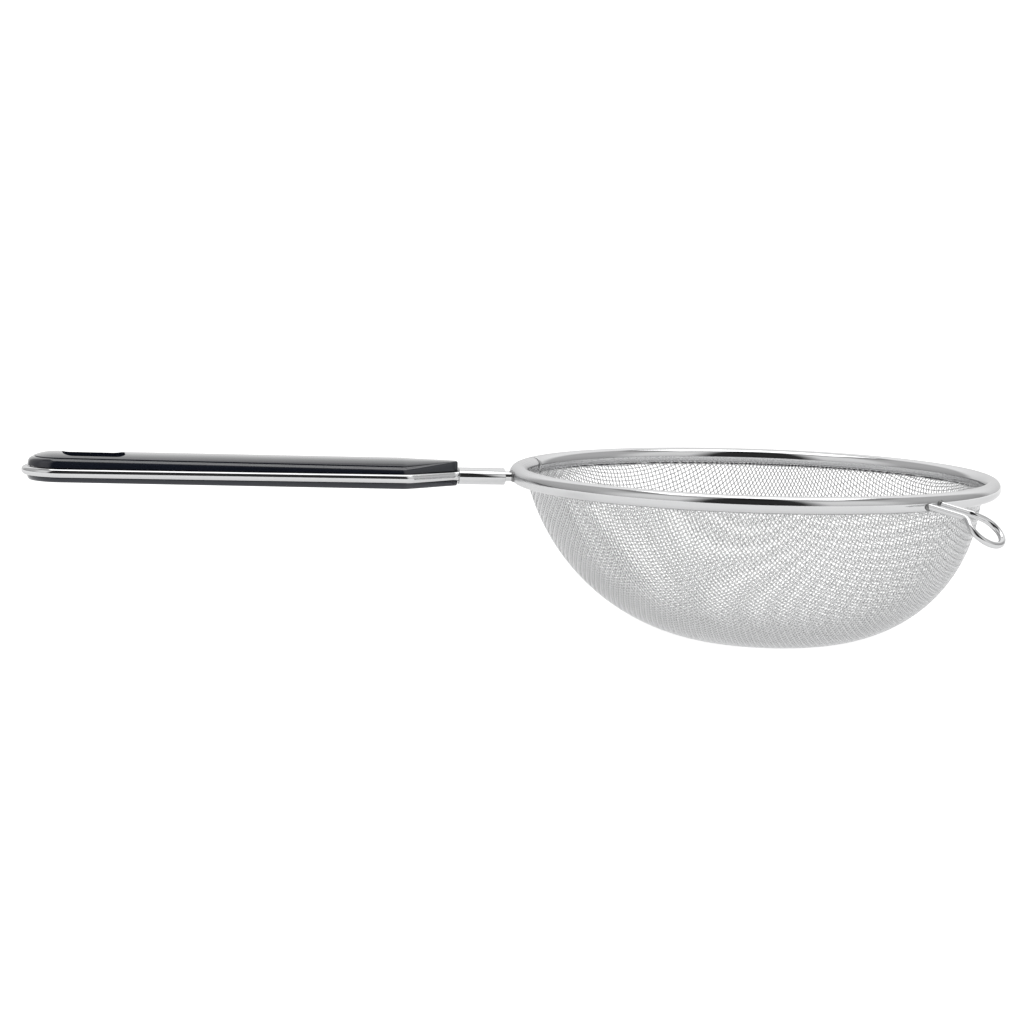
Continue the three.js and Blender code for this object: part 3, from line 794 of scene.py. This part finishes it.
def scale_stations():
    """Where a scale's section is drawn out to: place, half width, and how much lower it is."""
    slope = math.atan2(SCALE_HALF_WIDTH - SCALE_NECK_HALF_WIDTH, GRIP_START - SCALE_START)
    corner = (GRIP_START + SCALE_BEND * math.tan(slope / 2), SCALE_HALF_WIDTH - SCALE_BEND)
    bend = arc_points(corner, SCALE_BEND, QUARTER, QUARTER + slope, BEND_STEPS)
    grip = np.linspace(SCALE_TIP_MIDDLE, bend[0][0], SCALE_GRIP_STATIONS)
    neck = divided(bend[-1], (SCALE_START, SCALE_NECK_HALF_WIDTH), SCALE_NECK_SPACING)
    stations = [(x, SCALE_HALF_WIDTH, 0) for x in grip[1:]]
    stations += [(x, width, 0) for x, width in bend[1:] + neck[1:-1]]
    for turn in np.linspace(0, QUARTER, SCALE_END_STATIONS):
        inset = SCALE_END_ROUND * (1 - math.cos(turn))
        x = SCALE_START + SCALE_END_ROUND * (1 - math.sin(turn))
        stations.append((x, SCALE_NECK_HALF_WIDTH - inset, inset))
    return stations


def scale_body(form):
    """A scale without its cuts: its section spun round the tip, then drawn out to the neck."""
    bm = bmesh.new()
    role_layer = bm.verts.layers.float.new("role")
    half = []
    for role in FACE_ROLES + SIDE_ROLES:
        y, z = scale_spot(role, SCALE_TIP_MIDDLE, SCALE_HALF_WIDTH, form)
        half.append(bm.verts.new((SCALE_TIP_MIDDLE, y, z)))
        half[-1][role_layer] = role
    chain = [bm.edges.new(pair) for pair in zip(half, half[1:])]
    bmesh.ops.spin(bm, geom=half + chain, cent=(SCALE_TIP_MIDDLE, 0, 0), axis=(0, 0, -1),
                   angle=math.pi, steps=TIP_STEPS)
    bmesh.ops.remove_doubles(bm, verts=bm.verts, dist=MERGE)
    section = [e for e in bm.edges
               if all(abs(v.co.x - SCALE_TIP_MIDDLE) < TOUCH for v in e.verts)]
    for x, width, lower in scale_stations():
        made = bmesh.ops.extrude_edge_only(bm, edges=section)["geom"]
        for v in only(BMVert, made):
            y, z = scale_spot(math.copysign(v[role_layer], v.co.y), x, width, form)
            v.co = (x, y, z - lower * (z - FIT / 2) / form.tip_top)
        section = only(BMEdge, made)
    corners = [v for e in section for v in e.verts if abs(v.co.z - FIT / 2) < TOUCH]
    sill = bm.edges.new(corners)
    bmesh.ops.contextual_create(bm, geom=section + [sill])
    joint = [e for e in bm.edges if e.is_boundary or e is sill]
    bmesh.ops.contextual_create(bm, geom=joint)
    return mesh_from(bm, "scale_body")


def slot_cutter(top):
    """The hanging slot's shape, from below the scale to above it."""
    near, far = SLOT_START + SLOT_CORNER, SLOT_START + SLOT_LENGTH - SLOT_CORNER
    half = SLOT_WIDTH / 2 - SLOT_CORNER
    outline = []
    for k, middle in enumerate(((far, half), (near, half), (near, -half), (far, -half))):
        start, end = k * QUARTER, (k + 1) * QUARTER
        outline += arc_points(middle, SLOT_CORNER, start, end, SLOT_CORNER_STEPS)
    bm = bmesh.new()
    face = bm.faces.new([bm.verts.new((x, y, -top)) for x, y in without_repeats(outline)])
    made = bmesh.ops.extrude_face_region(bm, geom=[face])["geom"]
    bmesh.ops.translate(bm, verts=only(BMVert, made), vec=(0, 0, 3 * top))
    return mesh_from(bm, "slot_cutter")


def cut(body, cutters):
    """A mesh with others cut out of it."""
    holder = add_object(body.name, body)
    tools = [add_object(mesh.name, mesh) for mesh in cutters]
    for tool in tools:
        taken = holder.modifiers.new("cut", "BOOLEAN")
        taken.operation = "DIFFERENCE"
        taken.solver = "EXACT"
        taken.object = tool
    bm = bmesh.new()
    bm.from_mesh(baked_mesh(holder, "cut_mesh"))
    for tool in tools:
        bpy.data.objects.remove(tool)
    bmesh.ops.remove_doubles(bm, verts=bm.verts, dist=CUT_MERGE)
    return mesh_from(bm, body.name, CUT_SHARP)


def scales():
    """Both scales, cut out for the wire between them and for the slot through them."""
    channel_path = hairpin_path(RIM_RADIUS)
    forms = (
        ("handle_upper_scale", "upper_scale", UPPER_SCALE, 0),
        ("handle_lower_scale", "lower_scale", LOWER_SCALE, math.pi),
    )
    for name, cad_node, form, turn in forms:
        channel = wire_mesh("channel", [channel_path], WIRE_RADIUS + FIT, WIRE_RESOLUTION)
        mesh = cut(scale_body(form), [channel, slot_cutter(form.tip_top)])
        mesh.name = name
        mesh = dropped(placed(mesh, Matrix.Rotation(turn, 4, "X")))
        finish_piece(name, placed(mesh, HANDLE_PLACE), BLACK, cad_node)


# Welds

def weld_collar(name, place, radius, cad_node):
    """A low collar of weld round a wire, where it meets the rim; it narrows onto the wire."""
    height, foot, bore = (radius * share for share in (WELD_HEIGHT, WELD_FOOT, WELD_BORE))
    profile = [(height, bore)]
    for turn in np.linspace(0, QUARTER, WELD_FLARE_POINTS):
        out = radius * WELD_LIP + (foot - radius) * (1 - math.cos(turn))
        profile.append((height - height * math.sin(turn), out))
    profile += [(-height, foot), (-height, bore)]
    bm = bmesh.new()
    chain = [bm.verts.new((along, out, 0)) for along, out in profile]
    edges = [bm.edges.new(pair) for pair in zip(chain, chain[1:] + chain[:1])]
    bmesh.ops.spin(bm, geom=chain + edges, cent=(0, 0, 0), axis=(1, 0, 0), angle=2 * math.pi,
                   steps=WELD_STEPS, use_merge=True)
    mesh = placed(mesh_from(bm, name), place)
    finish_piece(name, mesh, WELD_STEEL, cad_node)


def welds():
    """A collar at each end of the handle's wire and of the rest."""
    for k, side in enumerate((-1, 1)):
        place = HANDLE_PLACE @ Matrix.Translation((RIM_RADIUS, side * WIRE_HALF_NECK, 0))
        weld_collar(f"wire_weld_{k + 1}", place, WIRE_RADIUS, "handle_wire")
        tilt = Matrix.Rotation(REST_LEG_TILT, 4, "Y")
        spot = (side * REST_LEGS / 2 * math.tan(REST_YAW), side * REST_LEGS / 2, 0)
        place = REST_PLACE @ Matrix.Translation(spot) @ tilt
        weld_collar(f"rest_weld_{k + 1}", place, REST_RADIUS, "rest_loop")


# Rest

def rest_point(along, across):
    """A point of the rest's flat outline, set on its line out from the rim, which bends down."""
    bend = REST_BEND * (REST_LOOP_TILT - REST_LEG_TILT)
    first = min(along, REST_LEG)
    x = first * math.cos(REST_LEG_TILT)
    z = -first * math.sin(REST_LEG_TILT)
    if along > REST_LEG:
        tilt = REST_LEG_TILT + min(along - REST_LEG, bend) / REST_BEND
        x += REST_BEND * (math.sin(tilt) - math.sin(REST_LEG_TILT))
        z += REST_BEND * (math.cos(tilt) - math.cos(REST_LEG_TILT))
    if along > REST_LEG + bend:
        x += (along - REST_LEG - bend) * math.cos(REST_LOOP_TILT)
        z -= (along - REST_LEG - bend) * math.sin(REST_LOOP_TILT)
    return x, across, z


def rest_loop():
    """The rest: two legs that part in a fillet each, and the loop between them."""
    half = REST_LEGS / 2
    reach = REST_LEG + REST_LOOP_REACH
    lift = half + REST_FILLET
    apart = math.hypot(REST_LOOP_REACH, lift)
    slant = math.asin((REST_FILLET + REST_LOOP_RADIUS) / apart) - math.atan2(lift, REST_LOOP_REACH)
    side = divided((-REST_SUNK, half), (REST_LEG, half), REST_LEG_SPACING)
    side += arc_points((REST_LEG, lift), REST_FILLET, -QUARTER, slant - QUARTER, REST_FILLET_STEPS)
    start = QUARTER + slant
    loop = arc_points((reach, 0), REST_LOOP_RADIUS, start, -start, REST_LOOP_STEPS)
    flat = without_repeats(side + loop + [(x, -y) for x, y in reversed(side)])
    path = np.array([rest_point(x, y) for x, y in flat])
    mesh = placed(wire_mesh("rest_loop_wire", [path], REST_RADIUS, REST_RESOLUTION), REST_PLACE)
    finish_piece("rest_loop_wire", mesh, WIRE_STEEL, "rest_loop")


# Stage

def floor():
    """A white floor that glows, more so to the camera than to the steel."""
    bm = bmesh.new()
    bmesh.ops.create_circle(bm, cap_ends=True, segments=FLOOR_STEPS, radius=FLOOR_RADIUS)
    mesh = bpy.data.meshes.new("floor")
    bm.to_mesh(mesh)
    bm.free()
    material, tree, surface, place = new_material("floor_white")
    far = maths(tree, "DIVIDE", vector_maths(tree, "LENGTH", place), GLOW_REACH)
    camera_ray = node(tree, "ShaderNodeLightPath").outputs["Is Camera Ray"]
    seen = spread_values(tree, camera_ray, GLOW_IN_STEEL, 1.0)
    feed(tree, surface, {
        "Base Color": (FLOOR_TONE, FLOOR_TONE, FLOOR_TONE, 1),
        "Roughness": FLOOR_ROUGHNESS,
        "Specular IOR Level": 0.0,
        "Emission Color": (1, 1, 1, 1),
        "Emission Strength": maths(tree, "MULTIPLY", ramp(tree, far, FLOOR_GLOW), seen),
    })
    mesh.materials.append(material)
    piece = add_object("floor", mesh)


def studio_walls():
    """Walls of light by direction: a dark room behind the camera, pale ones beside and beyond."""
    world = bpy.data.worlds.new("studio")
    bpy.context.scene.world = world
    world.use_nodes = True
    tree = world.node_tree
    direction = node(tree, "ShaderNodeTexCoord").outputs["Generated"]
    turned = node(tree, "ShaderNodeMapping", {"Vector": direction, "Rotation": (0, 0, VIEW_TURN)})
    x, y, z = node(tree, "ShaderNodeSeparateXYZ", {0: turned.outputs["Vector"]}).outputs
    angle = maths(tree, "ARCTAN2", x, maths(tree, "MULTIPLY", y, -1.0))
    half_turn = maths(tree, "DIVIDE", maths(tree, "ABSOLUTE", angle), math.pi)
    tones = {
        "Factor": 1.0,
        "A": ramp(tree, half_turn, WALL_TONES),
        "B": ramp(tree, z, HEIGHT_TONES),
    }
    mixed = node(tree, "ShaderNodeMix", tones, data_type="RGBA", blend_type="MULTIPLY")
    light = {"Color": mixed.outputs["Result"], "Strength": WALL_STRENGTH}
    feed(tree, tree.nodes["Background"], light)


def softbox():
    """A broad light overhead, square to the camera."""
    light = bpy.data.lights.new("softbox", "AREA")
    light.shape = "RECTANGLE"
    light.size, light.size_y = SOFTBOX_SIZE
    light.energy = SOFTBOX_POWER
    lamp = add_object("softbox", light)
    lamp.location = RIM_MIDDLE + Matrix.Rotation(-VIEW_TURN, 3, "Z") @ Vector(SOFTBOX_PLACE)
    lamp.rotation_euler = (0, 0, -VIEW_TURN)
    lamp.visible_camera = False


def camera():
    """A long lens, turned so that the rim's middle falls on its place in the picture."""
    data = bpy.data.cameras.new("camera")
    data.sensor_width = SENSOR
    lens_pixels = PIXELS_PER_METRE * VIEW_DISTANCE
    data.lens = lens_pixels * SENSOR / PICTURE
    data.clip_end = VIEW_END
    away = Vector((
        -math.sin(VIEW_TURN) * math.cos(VIEW_RISE),
        -math.cos(VIEW_TURN) * math.cos(VIEW_RISE),
        math.sin(VIEW_RISE),
    ))
    aim = (-away).to_track_quat("-Z", "Y").to_matrix() @ Matrix.Rotation(VIEW_ROLL, 3, "Z")
    spot = Vector((RIM_PIXEL[0] - PICTURE / 2, PICTURE / 2 - RIM_PIXEL[1], -lens_pixels))
    aside = spot.rotation_difference(Vector((0, 0, -1))).to_matrix()
    stand = Matrix.Translation(RIM_MIDDLE + away * VIEW_DISTANCE)
    made = add_object("camera", data)
    made.matrix_world = stand @ (aim @ aside).to_4x4()
    bpy.context.scene.camera = made


camera()
woven_bowl()
rim_bead()
handle_wire()
sleeve()
scales()
rest_loop()
welds()
floor()
studio_walls()
softbox()
bpy.context.scene.view_settings.view_transform = "Standard"
